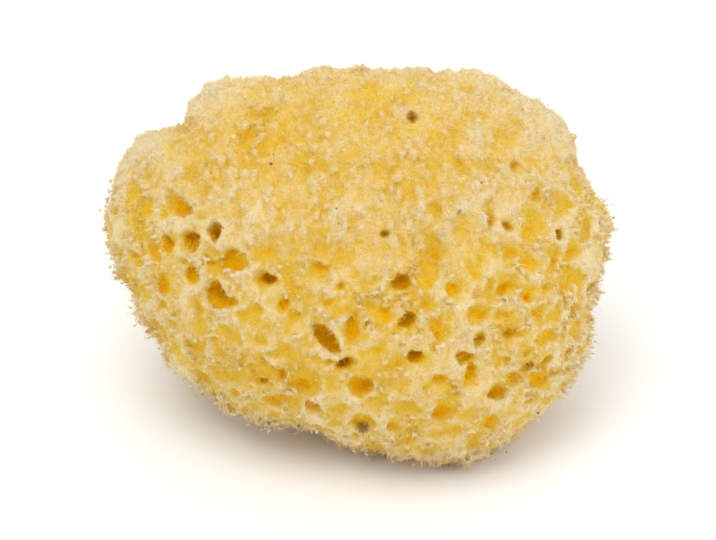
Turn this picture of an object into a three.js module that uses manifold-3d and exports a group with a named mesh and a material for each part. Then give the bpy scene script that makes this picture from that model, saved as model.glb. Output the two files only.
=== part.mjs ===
// A natural bath sponge: one grown lump of springy fibre, pitted with rounded pores and cut off flat
// where it stood on the sea bed. Millimetres, +Z up, origin at the middle of the cut underneath.
import * as THREE from "three";
import { mergeVertices } from "three/addons/utils/BufferGeometryUtils.js";
import Module from "manifold-3d";

// The broad front face of the lump leans back and looks up by this angle.
const FACE_ELEVATION = 35;

// The outline of the lump, square on to that face: its radius from the middle of the lump at even steps
// of angle, from the right-hand side and round by the top.
const OUTLINE = [
  73, 76, 73.5, 74.5, 73, 69.5, 68, 62, 59.5, 58.5, 60, 60.5,
  66, 70.5, 68, 77, 78, 76.5, 72.5, 68.5, 63.5, 63, 59, 57,
  54.5, 53, 51.5, 55, 57, 63, 67, 68, 70.5, 72.5, 73, 71,
];

// How far the face bulges towards the front and the lump reaches to the back of the outline's plane,
// and how full its rounded shoulders are: 2 is an ellipse, and more is squarer.
const FRONT_BULGE = 49;
const BACK_REACH = 60;
const FULLNESS = 2.35;

// The middle of the outline stands this high over the cut underneath, and this far from the origin.
const MIDDLE = { x: -0.2, y: -3.5, z: 46.5 };

// Soft hills on the whole skin: height in millimetres, waves round the lump, and phase.
const HILLS = [
  { height: 1.3, waves: 6.1, phase: 0.4 },
  { height: 0.9, waves: 10.7, phase: 2.1 },
  { height: 0.7, waves: 17.3, phase: 4.4 },
];

// The knobs of the wool stand out and lie in by up to this much.
const KNOB_HEIGHT = 1.1;

// Main pores on the front face, as seen square on to it: across, up, width, height, turn in degrees, depth.
const FRONT_PORES = [
  // the left shoulder
  [-63, 18, 6.5, 3.4, -38, 6], [-54, 18, 7.4, 4.2, -38, 9], [-67, 14.5, 2.8, 6.5, 10, 6],
  [-49.5, 7.7, 5.8, 5.2, 0, 12], [-41.8, 10.4, 2.9, 4.4, 10, 13], [-56.6, 6, 3, 6.2, 18, 8],
  [-60.4, 4.6, 3.4, 6, 18, 6], [-45.6, 22.5, 4.2, 3.6, 0, 4], [-35.6, 2.4, 7.6, 6.6, -20, 8],
  [-48.5, -2.5, 4.4, 4.9, 0, 9], [-57.5, -5.7, 4.4, 4.6, -20, 8],
  // under the left shoulder
  [-42.6, -8.4, 5.2, 6.2, 0, 11], [-38.4, -10.6, 4.2, 2.8, 0, 8], [-27.3, -3.8, 4.4, 3.4, -15, 13],
  [-47, -12.6, 2.9, 5, 15, 6], [-47.2, -17.5, 5, 3.2, 0, 4], [-38.6, -20, 6.6, 4.2, -10, 4.5],
  [-28.8, -21.5, 4.4, 3.2, 0, 6], [-12.5, -0.8, 5, 4, 0, 7], [-21.4, -11.2, 3, 4.4, -20, 7],
  [-18.4, -15.4, 3.2, 4.2, 15, 6],
  // the middle of the face
  [-9.8, -20.5, 9.6, 4.8, -50, 14], [-1.8, -18.7, 3.6, 8.6, -12, 8], [12.9, -4.9, 4.5, 5, 0, 12],
  [14.5, -15.2, 5.6, 3.4, 30, 12], [17.4, -26.4, 4.8, 3, 22, 12], [11.4, -28.4, 6, 2.8, 20, 6],
  [22.2, 17.5, 3.8, 5.2, 0, 9], [31.2, 11.1, 5.8, 3.1, 32, 9], [21.5, 4.3, 4.4, 3.4, -35, 6],
  [28, -6.2, 4, 3.5, 20, 7], [35, -13.7, 5, 3.2, 0, 7], [35.7, -21.3, 3.4, 2.6, 30, 11],
  // the right side
  [38.6, 14.8, 2.8, 3.8, 0, 7], [52.4, 20.9, 3.8, 2.8, 35, 6], [59, 9.8, 2.8, 3.2, 0, 8],
  [64.6, 4.7, 5.2, 3.2, 5, 7], [44.2, -6.2, 5.2, 2.9, 15, 8], [56, -5.8, 5, 2.8, 0, 6],
  [45.5, -19.8, 3.8, 2.6, 10, 9], [31.8, -27, 6.6, 4, -15, 9], [33.8, -31.6, 3.2, 4.8, 0, 8],
  [50.2, -29.8, 4, 3.2, 0, 9], [55.6, -28.6, 5.2, 3.2, 35, 7], [46, -33.5, 3.6, 3, -20, 7],
  [41.5, -37.2, 5, 4.6, -15, 10],
  // the foot of the face
  [-22.4, -26.4, 5.4, 3.6, 0, 4.5], [-28.3, -30.2, 3.5, 6.6, -5, 7], [-23.8, -31.9, 4, 4, 0, 7],
  [-40.6, -33.2, 6, 3.2, 20, 5], [-35.5, -34.6, 4.4, 5, 10, 5], [-25.8, -40, 4.4, 3, -25, 8],
  [-19.8, -40.4, 6.8, 5, 0, 5], [-13.4, -42.1, 4.4, 3.8, -30, 8], [-3.9, -28.8, 4.8, 3, 15, 13],
  [0.7, -35, 5.6, 5.4, 0, 10], [1.5, -46.3, 5.4, 5.2, 0, 9], [10.6, -34.8, 7, 3.8, 0, 4],
  [12.2, -41.2, 7.5, 4.2, 0, 4], [10.8, -48, 4.4, 3.5, 0, 7], [25.9, -42.6, 6.6, 4.2, 15, 8],
  [27.5, -48.8, 6.6, 3.4, 0, 6], [39.6, -46.4, 6, 4.8, 0, 8],
  // the woolly top of the face
  [15.6, 44.2, 2.8, 3.6, 10, 9], [-28.8, 45.6, 5.8, 3.8, 0, 4], [-31.7, 40, 5.2, 4.6, 0, 3.5],
  [-24.9, 36.6, 2.8, 6, 0, 4], [38.3, 30.1, 3.4, 2.8, 0, 5],
];

// Pores on the back, the sides and underneath: tries on an even spiral all round the lump, kept where
// they face away from the front by this much, and never nearer than this to the middle underneath.
const SPIRAL_TRIES = 134;
const AWAY_FROM_FRONT = 0.08;
const CLEAR_UNDERNEATH = 9;
const SPIRAL_PORE = { least: 3.6, spread: 3.6, depth: 6, depthSpread: 7 };

// Facets of the skin and of each pore, and the pore's profile: share of its radius at each share of its depth.
const SKIN_DETAIL = 12;
const PORE_SIDES = 6;
const PORE_PROFILE = [[0, -1], [0.9, -0.7], [1.6, 0.3], [0, 0.3]];

const wasm = await Module();
wasm.setup();

const radians = THREE.MathUtils.degToRad;

// A repeatable number from 0 to 1 for each whole number and each use.
function chance(index, use) {
  const wave = Math.sin(index * 12.9898 + use * 78.233) * 43758.5453;
  return wave - Math.floor(wave);
}

// The outline's radius at any angle, as a smooth closed curve through the stated ones.
function outlineRadius(angle) {
  const count = OUTLINE.length;
  const place = ((angle / (2 * Math.PI)) * count + count) % count;
  const before = Math.floor(place);
  const t = place - before;
  const [a, b, c, d] = [-1, 0, 1, 2].map((step) => OUTLINE[(before + step + count) % count]);
  return b + 0.5 * t * (c - a + t * (2 * a - 5 * b + 4 * c - d + t * (3 * (b - c) + d - a)));
}

// The lump's radius along a direction in the face's own frame: x across, y up, z out of the face.
function lumpRadius(direction) {
  const { x, y, z } = direction;
  const reach = z > 0 ? FRONT_BULGE : BACK_REACH;
  const across = Math.hypot(x, y) / outlineRadius(Math.atan2(y, x));
  const smooth = (across ** FULLNESS + (Math.abs(z) / reach) ** FULLNESS) ** (-1 / FULLNESS);
  const hills = HILLS.reduce((sum, { height, waves, phase }) => {
    const wave = Math.sin(waves * x + phase) + Math.sin(waves * y + 2 * phase) + Math.sin(waves * z + 3 * phase);
    return sum + (height * wave) / 3;
  }, 0);
  return smooth + hills;
}

// The same surface with each corner stated once and nothing but its place.
function joined(geometry) {
  const bare = geometry.clone();
  bare.deleteAttribute("normal");
  bare.deleteAttribute("uv");
  return mergeVertices(bare, 1e-4);
}

function solidFrom(geometry) {
  const merged = joined(geometry);
  return new wasm.Manifold(
    new wasm.Mesh({
      numProp: 3,
      vertProperties: new Float32Array(merged.attributes.position.array),
      triVerts: new Uint32Array(merged.index.array),
    }),
  );
}

function geometryFrom(solid) {
  const { vertProperties, triVerts } = solid.getMesh();
  const geometry = new THREE.BufferGeometry();
  geometry.setAttribute("position", new THREE.BufferAttribute(vertProperties, 3));
  geometry.setIndex(new THREE.BufferAttribute(triVerts, 1));
  geometry.computeVertexNormals();
  return geometry;
}

// Turns the face's frame upright: its up and outward axes tip back until the outward one looks up
// by FACE_ELEVATION, and the middle comes to its height.
const stand = new THREE.Matrix4()
  .makeTranslation(MIDDLE.x, MIDDLE.y, MIDDLE.z)
  .multiply(new THREE.Matrix4().makeRotationX(Math.PI / 2 - radians(FACE_ELEVATION)));

function skin() {
  const geometry = joined(new THREE.IcosahedronGeometry(1, SKIN_DETAIL));
  const corners = geometry.attributes.position;
  const direction = new THREE.Vector3();
  for (let i = 0; i < corners.count; i++) {
    direction.fromBufferAttribute(corners, i).normalize();
    const knob = KNOB_HEIGHT * (2 * chance(i, 0) - 1);
    direction.multiplyScalar(lumpRadius(direction) + knob);
    corners.setXYZ(i, direction.x, direction.y, direction.z);
  }
  return geometry;
}

// One pore: a closed funnel that narrows inwards, placed by its mouth with its way out along `out`.
function pore({ mouth, out, width, height, turn, depth }) {
  const profile = PORE_PROFILE.map(([radius, along]) => {
    const length = along < 0 ? depth : Math.max(width, height);
    return new THREE.Vector2(radius / 2, along * length);
  });
  const geometry = new THREE.LatheGeometry(profile, PORE_SIDES);
  geometry.rotateX(Math.PI / 2);
  geometry.scale(width, height, 1);
  geometry.rotateZ(radians(turn));
  const across = new THREE.Vector3(1, 0, 0).addScaledVector(out, -out.x).normalize();
  const up = new THREE.Vector3().crossVectors(out, across);
  geometry.applyMatrix4(new THREE.Matrix4().makeBasis(across, up, out));
  geometry.translate(mouth.x, mouth.y, mouth.z);
  return geometry;
}

function frontPores() {
  return FRONT_PORES.map(([x, y, width, height, turn, depth]) => {
    const across = Math.hypot(x, y) / outlineRadius(Math.atan2(y, x));
    const z = FRONT_BULGE * (1 - Math.min(across, 0.97) ** FULLNESS) ** (1 / FULLNESS);
    const mouth = new THREE.Vector3(x, y, z);
    mouth.setLength(lumpRadius(mouth.clone().normalize()));
    const out = mouth.clone().normalize().add(new THREE.Vector3(0, 0, 0.8)).normalize();
    return pore({ mouth, out, width, height, turn, depth });
  });
}

function spiralPores() {
  const goldenTurn = Math.PI * (3 - Math.sqrt(5));
  const middleUnderneath = new THREE.Vector3(0, 0, 0).applyMatrix4(stand.clone().invert());
  const pores = [];
  for (let i = 0; i < SPIRAL_TRIES; i++) {
    const z = 1 - (2 * i + 1) / SPIRAL_TRIES;
    const angle = i * goldenTurn + 0.5 * (chance(i, 1) - 0.5);
    const ring = Math.sqrt(1 - z * z);
    const out = new THREE.Vector3(ring * Math.cos(angle), ring * Math.sin(angle), z);
    if (out.z > -AWAY_FROM_FRONT) continue;
    let mouth = out.clone().multiplyScalar(lumpRadius(out));
    const height = mouth.clone().applyMatrix4(stand).z;
    if (height < 0) mouth.multiplyScalar(MIDDLE.z / (MIDDLE.z - height));
    if (mouth.distanceTo(middleUnderneath) < CLEAR_UNDERNEATH) continue;
    const width = SPIRAL_PORE.least + SPIRAL_PORE.spread * chance(i, 2);
    pores.push(
      pore({
        mouth,
        out,
        width,
        height: width * (0.6 + 0.5 * chance(i, 3)),
        turn: 180 * chance(i, 4),
        depth: SPIRAL_PORE.depth + SPIRAL_PORE.depthSpread * chance(i, 5),
      }),
    );
  }
  return pores;
}

function sponge() {
  const lump = solidFrom(skin());
  const pores = wasm.Manifold.union([...frontPores(), ...spiralPores()].map(solidFrom));
  const ground = solidFrom(new THREE.BoxGeometry(400, 400, 200).translate(0, 0, -100));
  const pitted = lump.subtract(pores).transform(stand.elements).subtract(ground);
  const [whole] = pitted.decompose().sort((a, b) => b.volume() - a.volume());
  return whole;
}

const fibre = new THREE.MeshStandardMaterial({
  color: new THREE.Color().setRGB(0.9, 0.76, 0.45, THREE.SRGBColorSpace),
  roughness: 0.95,
  metalness: 0,
});

const mesh = new THREE.Mesh(geometryFrom(sponge()), fibre);
mesh.name = "sponge";

const part = new THREE.Group();
part.add(mesh);

export default part;
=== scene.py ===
import itertools
import math

import bpy
import numpy as np
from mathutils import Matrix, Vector


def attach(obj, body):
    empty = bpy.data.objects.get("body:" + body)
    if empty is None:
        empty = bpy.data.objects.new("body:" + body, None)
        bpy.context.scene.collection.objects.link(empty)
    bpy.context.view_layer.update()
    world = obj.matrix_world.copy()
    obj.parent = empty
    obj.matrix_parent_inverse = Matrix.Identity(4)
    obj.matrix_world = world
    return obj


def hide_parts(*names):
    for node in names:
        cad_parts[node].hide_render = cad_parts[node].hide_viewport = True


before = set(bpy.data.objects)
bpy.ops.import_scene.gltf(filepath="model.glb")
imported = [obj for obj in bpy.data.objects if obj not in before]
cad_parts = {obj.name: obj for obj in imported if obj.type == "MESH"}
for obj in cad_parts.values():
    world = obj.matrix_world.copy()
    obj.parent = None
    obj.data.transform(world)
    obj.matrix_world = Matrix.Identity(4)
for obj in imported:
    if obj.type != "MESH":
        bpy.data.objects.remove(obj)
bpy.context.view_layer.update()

# The camera stands well back with a long lens, square on to the broad face of the sponge, which leans
# back and looks up a little. The face's own frame has x to the right, u up the face and n out of it.
# Sizes are in millimetres until they are given to Blender, which counts in metres.
MM = 0.001
FACE_ELEVATION = math.radians(35)
MIDDLE = np.array([-0.2, -3.5, 46.5])
FACE_AXES = np.array([
    [1.0, 0.0, 0.0],
    [0.0, math.sin(FACE_ELEVATION), math.cos(FACE_ELEVATION)],
    [0.0, -math.cos(FACE_ELEVATION), math.sin(FACE_ELEVATION)],
])
LENS = 200.0
SENSOR = 36.0
IMAGE_WIDTH = 716
PIXEL = 0.2964
VIEW_WIDTH = IMAGE_WIDTH * PIXEL
LOOK_BELOW_MIDDLE = 0.9
CLIP_START, CLIP_END = 0.05, 20.0

camera_data = bpy.data.cameras.new("camera")
camera_data.lens = LENS
camera_data.sensor_width = SENSOR
camera = bpy.data.objects.new("camera", camera_data)
bpy.context.collection.objects.link(camera)
stand_off = VIEW_WIDTH * LENS / SENSOR
aim = MIDDLE - LOOK_BELOW_MIDDLE * FACE_AXES[1]
camera.location = Vector((aim + stand_off * FACE_AXES[2]) * MM)
camera.rotation_mode = "QUATERNION"
camera.rotation_quaternion = Vector(-FACE_AXES[2]).to_track_quat("-Z", "Y")
camera_data.clip_start = CLIP_START
camera_data.clip_end = CLIP_END
bpy.context.scene.camera = camera
bpy.context.scene.view_settings.view_transform = "Standard"


# The studio is a bright white room: a large soft light overhead, a little to the left and in front, a
# weaker one to the right and one behind, and a pale floor under the sponge. Its sizes are in metres.
WORLD_STRENGTH = 0.8
LIGHT_AIM = (0.0, 0.0, 0.05)
# Each light's name, place, width, power in watts and colour.
LIGHTS = [
    ("key_light", (-0.25, -0.35, 1.05), 0.8, 5.0, (1.0, 1.0, 0.97)),
    ("fill_light", (0.8, -0.6, 0.6), 0.8, 2.4, (1.0, 1.0, 1.0)),
    ("back_light", (0.1, 0.9, 0.9), 1.1, 2.4, (1.0, 1.0, 1.0)),
]
FLOOR_HALF = 3.0
FLOOR_COLOUR = (0.95, 0.95, 0.95, 1.0)
FLOOR_ROUGHNESS = 0.9

world = bpy.data.worlds.new("studio")
world.use_nodes = True
background = world.node_tree.nodes["Background"].inputs
background["Color"].default_value = (1.0, 1.0, 1.0, 1.0)
background["Strength"].default_value = WORLD_STRENGTH
bpy.context.scene.world = world

for light_name, light_place, light_width, power, light_colour in LIGHTS:
    lamp = bpy.data.lights.new(light_name, "AREA")
    lamp.shape = "DISK"
    lamp.size = light_width
    lamp.energy = power
    lamp.color = light_colour
    lamp_holder = bpy.data.objects.new(light_name, lamp)
    bpy.context.collection.objects.link(lamp_holder)
    lamp_holder.location = light_place
    lamp_holder.rotation_mode = "QUATERNION"
    lamp_holder.rotation_quaternion = (Vector(light_place) - Vector(LIGHT_AIM)).to_track_quat("Z", "Y")

floor_mesh = bpy.data.meshes.new("floor")
floor_corners = [(x * FLOOR_HALF, y * FLOOR_HALF, 0.0) for x, y in ((-1, -1), (1, -1), (1, 1), (-1, 1))]
floor_mesh.from_pydata(floor_corners, [], [(0, 1, 2, 3)])
floor = bpy.data.objects.new("floor", floor_mesh)
bpy.context.collection.objects.link(floor)
floor_paint = bpy.data.materials.new("floor_paint")
floor_paint.use_nodes = True
floor_shader = floor_paint.node_tree.nodes["Principled BSDF"].inputs
floor_shader["Base Color"].default_value = FLOOR_COLOUR
floor_shader["Roughness"].default_value = FLOOR_ROUGHNESS
floor_mesh.materials.append(floor_paint)


# The sponge's body is one grown lump of springy fibre. Its walls are felted and translucent, pale cream at
# the crests, and golden inside the pores by painted shade. It was cut off flat where it grew, and stands on
# that cut.

# Its outline square on to the face: the radius at even steps of angle, from the right and round by the top.
OUTLINE = [
    73, 76, 73, 75, 75, 70, 67.5, 61.5, 59, 58, 60, 60.5,
    65.5, 70.5, 67.5, 76, 76.5, 76.5, 72.5, 68.5, 64.5, 63, 59, 56.5,
    53.5, 52, 51.5, 55, 57, 63, 66.5, 68, 71, 73, 73, 71,
]
# Steps in the outline that are too short for that list: angle in degrees, half the width, and how far out.
OUTLINE_STEPS = [
    (136, 2.5, 2.4), (142, 2.5, -0.8), (155, 4, -0.8), (25.5, 3, -1.8), (186, 3, -1.8), (64, 4, -0.8),
]
# In front of and behind the outline's plane the lump turns to a smoother ring, between these shares of n.
RING = np.array(OUTLINE, dtype=np.float32)
EVEN_RING = sum(np.roll(RING, step) for step in (-2, -1, 0, 1, 2)) / 5
EVENED = (0.12, 0.5)

# How far the lump bulges in front and reaches behind, and how full its shoulders are: 2 is an ellipse.
FRONT_BULGE = 49.0
BACK_REACH = 60.0
FULLNESS = 2.35
# Soft hills on the whole skin: height, waves round the lump, and phase.
HILLS = [(1.3, 6.1, 0.4), (0.9, 10.7, 2.1), (0.7, 17.3, 4.4)]
# The lump lies this far inside its outline, because the crests and fibres stand out of it.
BODY_INSET = 2.0

# Close wool covers the top of the face down to a border that is lowest in the middle and climbs to the
# sides, and most of the back, a little thinner.
BORDER_MIDDLE, BORDER_HALF, BORDER_CURVE = -2, 62, 1.7
BORDER_LOW, BORDER_RISE = -3, 27
BORDER_EDGE = (-7, 9)
BACK_WOOL = 0.75
BACK_WOOL_EDGE = (2, -18)
BACK_WOOL_FOOT = (-38, -10)

# Pores on the face: across, up, width, height, turn in degrees, depth.
FRONT_PORES = [
    # the left shoulder
    (-63.7, 18, 9, 3.4, -38, 6), (-53.6, 19, 9.4, 4.6, -34, 8), (-67, 14.5, 2.8, 6.5, 10, 6),
    (-49.5, 7.7, 5.8, 5.2, 0, 12), (-41.8, 10.4, 2.9, 4.4, 10, 13), (-56.6, 6, 3, 6.2, 18, 8),
    (-60.4, 4.6, 3.4, 6, 18, 6), (-45.6, 22.5, 4.2, 3.6, 0, 4), (-35.6, 2.4, 7.6, 6.6, -20, 8),
    (-48.5, -2.5, 4.4, 4.9, 0, 9), (-57.5, -5.7, 4.4, 4.6, -20, 8), (-49.8, 26, 3, 3, 0, 4),
    (-51.3, 0.9, 2.1, 2.1, 0, 5),
    # under the left shoulder
    (-42.6, -8.4, 5.4, 6.4, 0, 14), (-38.4, -10.6, 4.6, 3.0, 0, 10), (-27.3, -3.8, 4.4, 3.4, -15, 13),
    (-47, -12.6, 2.9, 5, 15, 6), (-47.2, -17.5, 5, 3.2, 0, 4), (-38.6, -20, 6.6, 4.2, -10, 4.5),
    (-28.8, -21.5, 4.4, 3.2, 0, 6), (-12.5, -0.8, 5, 4, 0, 7), (-21.4, -11.2, 3, 4.4, -20, 7),
    (-18.4, -15.4, 3.2, 4.2, 15, 6), (-5.2, -5.2, 2.5, 2.5, 0, 6), (-56.3, -16.5, 2.8, 2.2, 0, 4),
    # the middle of the face
    (-9.8, -20.5, 9.6, 4.8, -50, 14), (-1.8, -18.7, 3.6, 8.6, -12, 8), (12.9, -4.9, 4.5, 5, 0, 12),
    (14.5, -15.2, 5.6, 3.4, 30, 12), (17.4, -26.4, 4.8, 3, 22, 12), (11.4, -28.4, 6, 2.8, 20, 6),
    (22.2, 17.5, 3.8, 5.2, 0, 5), (31.2, 11.1, 5.8, 3.1, 32, 5), (21.5, 4.3, 4.4, 3.4, -35, 6),
    (28, -6.2, 4, 3.5, 20, 7), (35, -13.7, 5, 3.2, 0, 7), (35.7, -21.3, 3.4, 2.6, 30, 11),
    (3.7, -4.1, 2.4, 2.2, 0, 6), (5.2, -24.6, 3, 1.8, 0, 6), (-9.6, -27.9, 2.8, 2, 0, 6),
    # the right side
    (38.6, 14.8, 2.8, 3.8, 0, 7), (52.4, 20.9, 3.8, 2.8, 35, 6), (59, 9.8, 2.8, 3.2, 0, 8),
    (64.6, 4.7, 5.2, 3.2, 5, 7), (44.2, -6.2, 5.2, 2.9, 15, 8), (56, -5.8, 5, 2.8, 0, 6),
    (45.5, -19.8, 3.8, 2.6, 10, 9), (31.8, -27, 6.6, 4, -15, 9), (33.8, -31.6, 3.2, 4.8, 0, 8),
    (50.2, -29.8, 4, 3.2, 0, 9), (55.6, -28.6, 5.2, 3.2, 35, 7), (46, -33.5, 3.6, 3, -20, 7),
    (41.5, -37.2, 5, 4.6, -15, 10), (30.4, 29.6, 2.6, 2.2, 0, 5), (38.3, 6.6, 3, 1.8, 0, 5),
    (34.4, -1.8, 2.5, 2.8, 0, 5), (52.3, -13.6, 3, 2.4, 0, 6), (49.4, -25.5, 3, 1.8, 20, 6),
    (52.4, -39.8, 4.8, 3, 0, 6),
    # the foot of the face
    (-22.4, -26.4, 5.4, 3.6, 0, 4.5), (-28.3, -30.2, 3.5, 6.6, -5, 7), (-23.8, -31.9, 4, 4, 0, 7),
    (-40.6, -33.2, 6, 3.2, 20, 5), (-35.5, -34.6, 4.4, 5, 10, 5), (-25.8, -40, 4.4, 3, -25, 8),
    (-19.8, -40.4, 6.8, 5, 0, 5), (-13.4, -42.1, 4.4, 3.8, -30, 8), (-3.9, -28.8, 4.8, 3, 15, 13),
    (0.7, -35, 5.6, 5.4, 0, 10), (1.5, -46.3, 5.4, 5.2, 0, 9), (10.6, -34.8, 7, 3.8, 0, 4),
    (12.2, -41.2, 7.5, 4.2, 0, 4), (10.8, -48, 4.4, 3.5, 0, 7), (25.9, -42.6, 6.6, 4.2, 15, 8),
    (27.5, -48.8, 6.6, 3.4, 0, 6), (39.6, -46.4, 6, 4.8, 0, 8), (-42.1, -31, 2.7, 2.4, 0, 5),
    (17, -48, 1.9, 1.9, 0, 5), (31.7, -44.3, 2, 3.4, 0, 5),
    # the woolly top of the face
    (15.6, 44.2, 2.8, 3.6, 10, 9), (-28.8, 45.6, 5.8, 3.8, 0, 4), (-31.7, 40, 5.2, 4.6, 0, 3.5),
    (-24.9, 36.6, 2.8, 6, 0, 4), (38.3, 30.1, 3.4, 2.8, 0, 5), (-15.6, 29.9, 8.5, 2.4, 0, 2.5),
]
# A pore's mouth is looked for on the skin behind its stated place on the face, in a few steps. Its way in
# is square to the skin, but turned towards the viewer.
WITHIN_OUTLINE = 0.97
MOUTH_STEPS = 6
MOUTH_STEP_SHARE = 0.7
LEAST_FORWARD = 3.0
TURNED_TO_VIEWER = 0.8

# Behind the face, pores stand along a spiral, clear of the middle of the cut underneath.
SPIRAL_TRIES = 134
SPIRAL_STRAY = 0.5
AWAY_FROM_FRONT = 0.08
CLEAR_UNDERNEATH = 9.0
SPIRAL_LEAST, SPIRAL_SPREAD = 3.6, 3.6
SPIRAL_FLATTEST, SPIRAL_FLAT_SPREAD = 0.6, 0.5
SPIRAL_DEPTH, SPIRAL_DEPTH_SPREAD = 6.0, 7.0

# The body is worked out as a field on a grid: less than nothing inside, and more outside.
GRID_STEP = 0.6
GRID_LOW = np.array([-78.0, -63.0, -2.1])
GRID_HIGH = np.array([78.0, 63.0, 107.1])
BODY_TRIANGLES = 198000


def chance(index, use):
    """A repeatable number from 0 to 1 for each whole number and each use."""
    wave = np.sin(index * 12.9898 + use * 78.233) * 43758.5453
    return wave - np.floor(wave)


def smooth_step(low, high, value):
    """0 at low and 1 at high, and smooth between. High may be less than low."""
    t = np.clip((value - low) / (high - low), 0, 1)
    return t * t * (3 - 2 * t)


def ring_radius(angle, ring):
    """The radius of a smooth closed curve through a ring of stated ones."""
    place = np.mod(angle / (2 * math.pi) * len(ring), len(ring))
    before = np.floor(place).astype(np.int32)
    t = place - before
    a, b, c, d = [ring[(before + step) % len(ring)] for step in (-1, 0, 1, 2)]
    return b + 0.5 * t * (c - a + t * (2 * a - 5 * b + 4 * c - d + t * (3 * (b - c) + d - a)))


def outline_radius(angle):
    """The outline's radius at angles round the face."""
    radius = ring_radius(angle, RING)
    for middle, half_width, reach in OUTLINE_STEPS:
        away = (np.mod(np.degrees(angle) - middle + 180, 360) - 180) / half_width
        radius = radius + reach * np.exp(-away * away)
    return radius


def lump_radius(x, u, n):
    """The lump's radius along unit directions in the face's frame."""
    reach = np.where(n > 0, FRONT_BULGE, BACK_REACH)
    angle = np.arctan2(u, x)
    even = smooth_step(*EVENED, np.abs(n))
    across = np.hypot(x, u) / (outline_radius(angle) * (1 - even) + ring_radius(angle, EVEN_RING) * even)
    smooth = (across ** FULLNESS + (np.abs(n) / reach) ** FULLNESS) ** (-1 / FULLNESS)
    for height, waves, phase in HILLS:
        smooth = smooth + height / 3 * (np.sin(waves * x + phase) + np.sin(waves * u + 2 * phase)
                                        + np.sin(waves * n + 3 * phase))
    return smooth


def to_face(points):
    """Points in the CAD frame, in millimetres, to the face's frame."""
    return (points - MIDDLE) @ FACE_AXES.T


def outside_lump(face_points):
    """How far points are outside the smooth lump, and less than nothing inside it."""
    length = np.maximum(np.linalg.norm(face_points, axis=-1), 1e-3)
    x, u, n = [face_points[..., k] / length for k in range(3)]
    return length - lump_radius(x, u, n) + BODY_INSET


def smooth_max(a, b, softness):
    """The greater of two values, rounded off where they are close."""
    blend = np.maximum(softness - np.abs(a - b), 0) / softness
    return np.maximum(a, b) + blend * blend * softness / 4


def woolliness(face_points):
    """1 where the skin is close wool, 0 where it is open honeycomb."""
    x, u, n = [face_points[..., k] for k in range(3)]
    sideways = np.minimum(np.abs(x - BORDER_MIDDLE), BORDER_HALF) / BORDER_HALF
    border = BORDER_LOW + BORDER_RISE * sideways ** BORDER_CURVE
    front = smooth_step(*BORDER_EDGE, u - border)
    back = smooth_step(*BACK_WOOL_EDGE, n) * smooth_step(*BACK_WOOL_FOOT, u)
    return np.maximum(front, BACK_WOOL * back)


# The scattered points repeat after this many cells, and no point is this many cells away.
CELL_TABLE = 64
FAR_CELLS = 9.0


def scattered_cells(points, size, seed):
    """The distance to the nearest of points scattered about one size apart, and that point's own chance."""
    rng = np.random.default_rng(seed)
    table = rng.random((CELL_TABLE, CELL_TABLE, CELL_TABLE, 4), dtype=np.float32)
    scaled = (points / size).astype(np.float32)
    base = np.floor(scaled).astype(np.int32)
    nearest = np.full(len(points), FAR_CELLS, dtype=np.float32)
    own = np.zeros(len(points), dtype=np.float32)
    for offset in itertools.product((-1, 0, 1), repeat=3):
        cell = base + np.array(offset, dtype=np.int32)
        entry = table[cell[:, 0] % CELL_TABLE, cell[:, 1] % CELL_TABLE, cell[:, 2] % CELL_TABLE]
        distance = np.linalg.norm(scaled - cell - entry[:, :3], axis=1)
        closer = distance < nearest
        own[closer] = entry[closer, 3]
        nearest[closer] = distance[closer]
    return nearest, own


def ripple(points, wavelength, seed, waves=7):
    """A soft uneven field from about -1 to 1."""
    rng = np.random.default_rng(seed)
    total = np.zeros(len(points), dtype=np.float32)
    for _ in range(waves):
        direction = rng.normal(size=3)
        direction *= 2 * math.pi / (wavelength * rng.uniform(0.75, 1.4) * np.linalg.norm(direction))
        total += np.sin(points @ direction.astype(np.float32) + rng.uniform(0, 6.28))
    return total / math.sqrt(waves)


def pore_list():
    """Each pore as its mouth and way out in the face's frame, width, height, turn and depth."""
    pores = []
    for x, u, width, height, turn, depth in FRONT_PORES:
        across = math.hypot(x, u) / float(outline_radius(np.arctan2(u, x)))
        n = FRONT_BULGE * (1 - min(across, WITHIN_OUTLINE) ** FULLNESS) ** (1 / FULLNESS)
        for _ in range(MOUTH_STEPS):
            direction = np.array([x, u, n]) / math.hypot(x, u, n)
            short_by = float(lump_radius(*direction)) - math.hypot(x, u, n)
            n = max(n + MOUTH_STEP_SHARE * short_by, LEAST_FORWARD)
        direction = np.array([x, u, n]) / math.hypot(x, u, n)
        mouth = direction * float(lump_radius(*direction))
        out = direction + np.array([0, 0, TURNED_TO_VIEWER])
        pores.append((mouth, out / np.linalg.norm(out), width, height, turn, depth))
    underneath = to_face(np.zeros(3))
    for i in range(SPIRAL_TRIES):
        n = 1 - (2 * i + 1) / SPIRAL_TRIES
        if n > -AWAY_FROM_FRONT:
            continue
        angle = i * math.pi * (3 - math.sqrt(5)) + SPIRAL_STRAY * (chance(i, 1) - 0.5)
        ring = math.sqrt(1 - n * n)
        out = np.array([ring * math.cos(angle), ring * math.sin(angle), n])
        mouth = out * float(lump_radius(*out))
        above_cut = (mouth @ FACE_AXES)[2] + MIDDLE[2]
        if above_cut < 0:
            mouth = mouth * MIDDLE[2] / (MIDDLE[2] - above_cut)
        if np.linalg.norm(mouth - underneath) < CLEAR_UNDERNEATH:
            continue
        width = SPIRAL_LEAST + SPIRAL_SPREAD * chance(i, 2)
        height = width * (SPIRAL_FLATTEST + SPIRAL_FLAT_SPREAD * chance(i, 3))
        depth = SPIRAL_DEPTH + SPIRAL_DEPTH_SPREAD * chance(i, 5)
        pores.append((mouth, out, width, height, 180 * chance(i, 4), depth))
    return pores


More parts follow.
